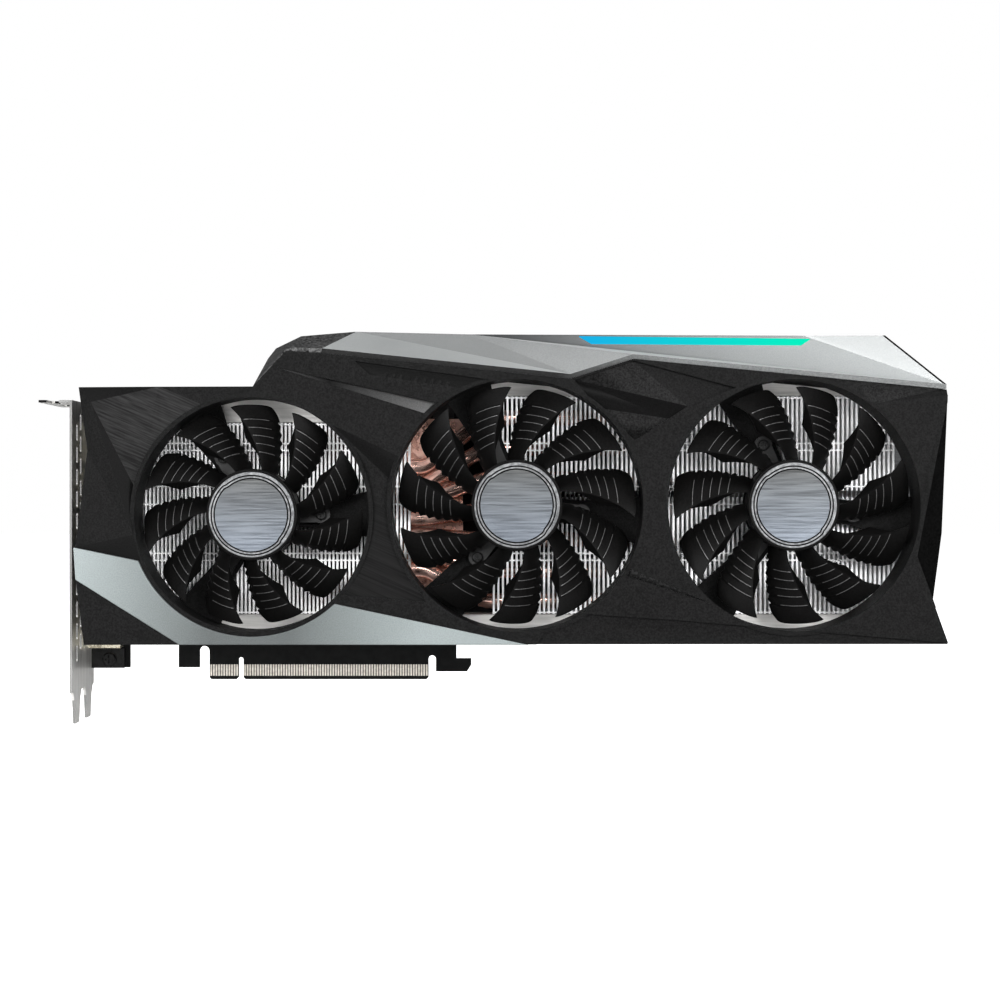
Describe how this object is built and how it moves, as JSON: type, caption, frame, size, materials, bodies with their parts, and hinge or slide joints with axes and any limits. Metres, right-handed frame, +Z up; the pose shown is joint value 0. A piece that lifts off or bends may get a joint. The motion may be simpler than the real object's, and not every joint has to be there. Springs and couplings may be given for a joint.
{
  "type": "graphics card",
  "caption": "Long graphics card: axial fans in a faceted dark shroud with silver trims and a lit top bar, over a finned heat-pipe cooler, with a metal backplate and slot bracket.",
  "frame": {"origin": "middle of the key notch in the edge connector, on the circuit board's mid-plane, at the bottom edge of the connector's tongues", "axes": "+X runs along the card from the bracket to the tail, +Y from the fans to the backplate, +Z up out of the slot"},
  "size_m": [0.3314, 0.0535, 0.1463],
  "materials": {
    "board_black": "satin",
    "contact_gold": "polished",
    "package_green": "satin",
    "silicon": "polished",
    "chip_black": "matte",
    "choke_grey": "matte",
    "can_silver": "satin",
    "pad_grey": "matte",
    "bracket_nickel": "satin",
    "screw_black": "satin",
    "screw_steel": "satin",
    "socket_shell": "polished",
    "socket_black": "matte",
    "pin_gold": "polished",
    "switch_black": "matte",
    "switch_white": "satin",
    "plate_copper": "satin",
    "pipe_copper": "polished",
    "fin_aluminium": "satin",
    "rail_aluminium": "satin",
    "backplate_dark": "satin",
    "shroud_charcoal": "matte",
    "swoosh_silver": "satin",
    "wedge_black": "glossy",
    "panel_silver": "satin",
    "cap_charcoal": "matte",
    "light_diffuser": "satin",
    "light_strip": "satin",
    "fan_black": "satin",
    "badge_silver": "brushed",
    "shaft_steel": "polished",
    "magnet_dark": "matte",
    "base_black": "matte",
    "stator_copper": "satin",
    "bearing_bronze": "satin"
  },
  "bodies": {
    "card": {"circuit_board": "board_black", "edge_contacts": "contact_gold", "gpu_package": "package_green", "gpu_die": "silicon", "memory_chips": "chip_black", "power_chokes": "choke_grey", "power_stages": "chip_black", "capacitors": "can_silver", "thermal_pads": "pad_grey", "io_bracket": "bracket_nickel", "bracket_screws": "screw_black", "displayport_sockets": "socket_shell", "hdmi_sockets": "socket_shell", "socket_tongues": "socket_black", "power_sockets": "socket_black", "power_pins": "pin_gold", "bios_switch_body": "switch_black", "cold_plate": "plate_copper", "heat_pipes": "pipe_copper", "fin_stack_left": "fin_aluminium", "fin_stack_middle": "fin_aluminium", "fin_stack_right": "fin_aluminium", "cooler_rails": "rail_aluminium", "backplate": "backplate_dark", "backplate_screws": "screw_black", "cooler_screws": "screw_steel", "cooler_springs": "screw_steel", "front_shroud": "shroud_charcoal", "silver_swoosh": "swoosh_silver", "gloss_wedges": "wedge_black", "top_panel": "panel_silver", "top_end_cap": "cap_charcoal", "light_bar": "light_diffuser", "light_board": "light_strip", "fan_headers": "socket_black", "fan_screws": "screw_steel", "fan_left_base": "base_black", "fan_left_bearing": "bearing_bronze", "fan_left_stator": "stator_copper", "fan_middle_base": "base_black", "fan_middle_bearing": "bearing_bronze", "fan_middle_stator": "stator_copper", "fan_right_base": "base_black", "fan_right_bearing": "bearing_bronze", "fan_right_stator": "stator_copper"},
    "fan_left": {"fan_left_rotor": "fan_black", "fan_left_badge": "badge_silver", "fan_left_shaft": "shaft_steel", "fan_left_magnet": "magnet_dark"},
    "fan_middle": {"fan_middle_rotor": "fan_black", "fan_middle_badge": "badge_silver", "fan_middle_shaft": "shaft_steel", "fan_middle_magnet": "magnet_dark"},
    "fan_right": {"fan_right_rotor": "fan_black", "fan_right_badge": "badge_silver", "fan_right_shaft": "shaft_steel", "fan_right_magnet": "magnet_dark"},
    "bios_switch": {"bios_switch_lever": "switch_white"}
  },
  "joints": [
    {"name": "fan_left_spin", "type": "hinge", "parent": "card", "child": "fan_left", "pos_m": [0.0099, 0, 0.0637], "axis": [0, 1, 0], "continuous": true},
    {"name": "fan_middle_spin", "type": "hinge", "parent": "card", "child": "fan_middle", "pos_m": [0.10585, 0, 0.0671], "axis": [0, 1, 0], "continuous": true},
    {"name": "fan_right_spin", "type": "hinge", "parent": "card", "child": "fan_right", "pos_m": [0.206, 0, 0.0671], "axis": [0, 1, 0], "continuous": true},
    {"name": "bios_switch_slide", "type": "slide", "parent": "card", "child": "bios_switch", "axis": [1, 0, 0], "range_m": [0, 0.002]}
  ]
}
